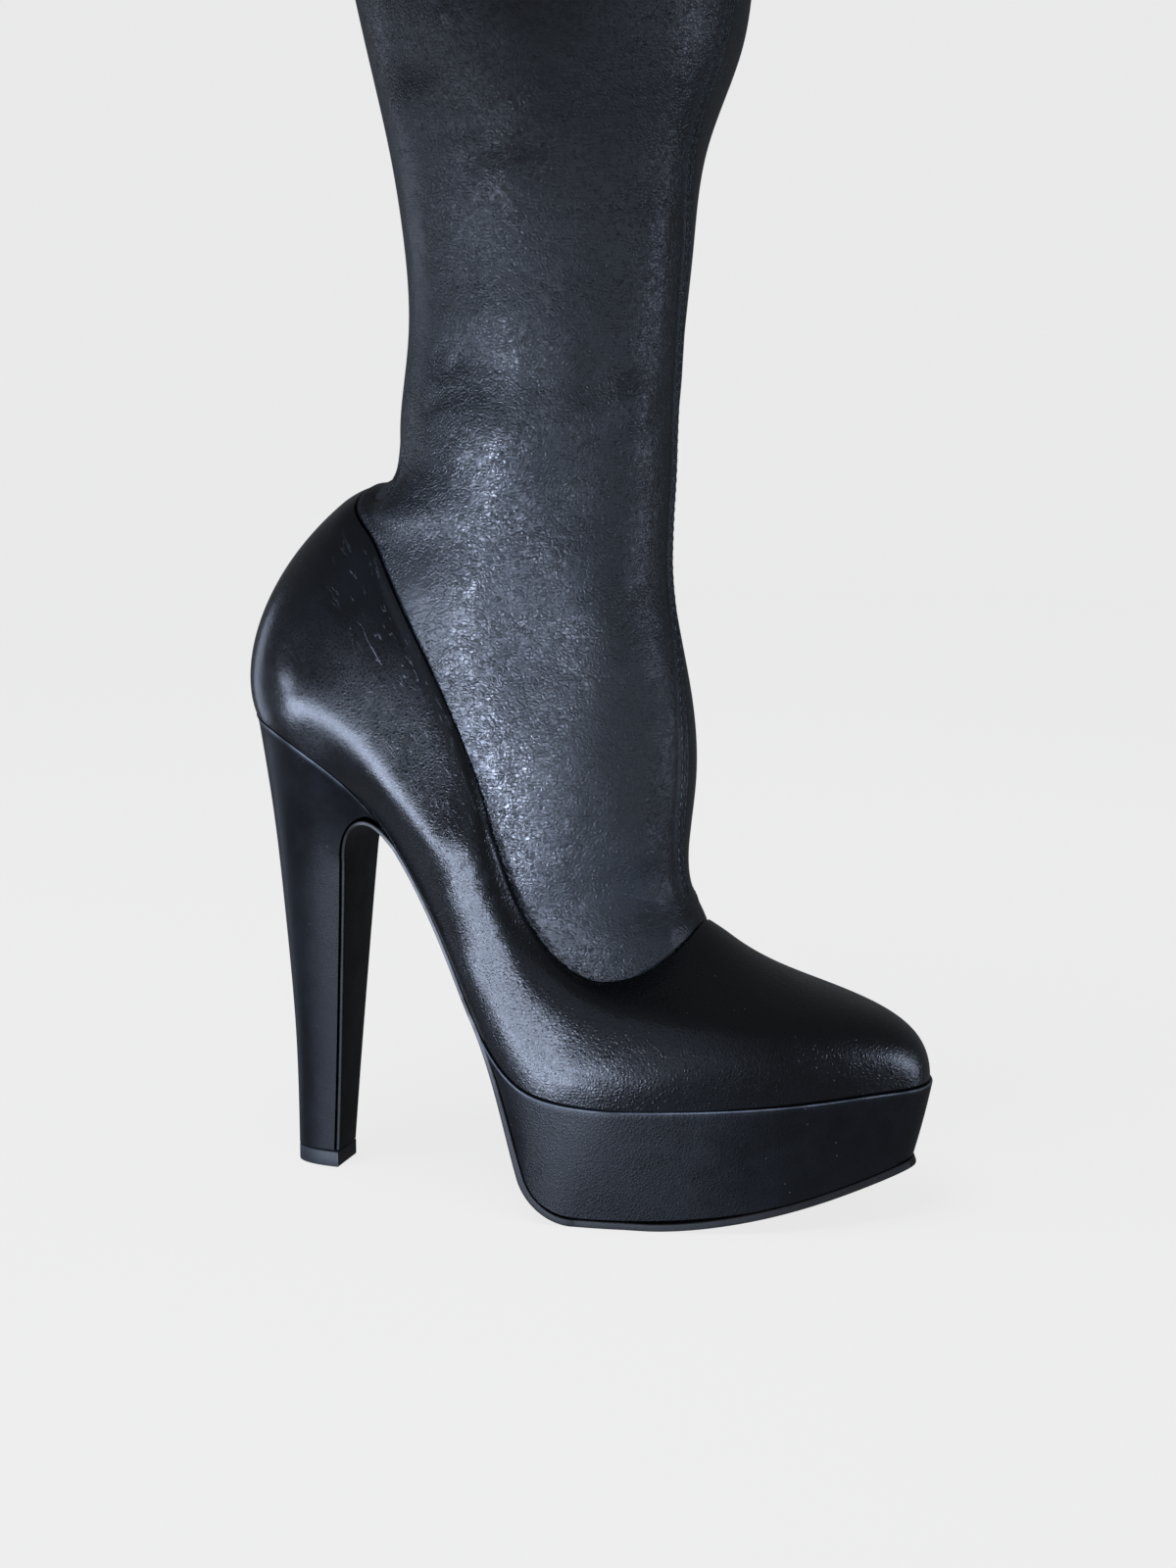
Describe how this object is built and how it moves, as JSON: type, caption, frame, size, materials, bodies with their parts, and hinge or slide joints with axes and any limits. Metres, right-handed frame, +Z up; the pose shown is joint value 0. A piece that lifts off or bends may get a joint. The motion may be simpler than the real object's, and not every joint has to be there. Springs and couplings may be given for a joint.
{
  "type": "platform knee-high boot",
  "caption": "Black leather knee-high boot: pump-cut upper, soft fitted shaft, leather-wrapped platform under the forefoot and a tall tapered heel with a rubber lift",
  "frame": {"origin": "middle of the boot's length and width, on the floor", "axes": "+X to the toe, -Y to the outer side of the leg, +Z up the shaft"},
  "size_m": [0.2146, 0.1146, 0.505],
  "materials": {
    "upper_leather": "polished smooth black",
    "shaft_leather": "soft fine-grained black, satin",
    "insole_board": "matt dark board",
    "platform_cover": "satin black",
    "sole_leather": "warm black, satin",
    "heel_cover": "satin black",
    "lift_rubber": "matt black"
  },
  "bodies": {
    "root": {"upper": "upper_leather", "shaft": "shaft_leather", "insole": "insole_board", "platform": "platform_cover", "outsole": "sole_leather", "heel": "heel_cover", "top_piece": "lift_rubber"}
  },
  "joints": []
}
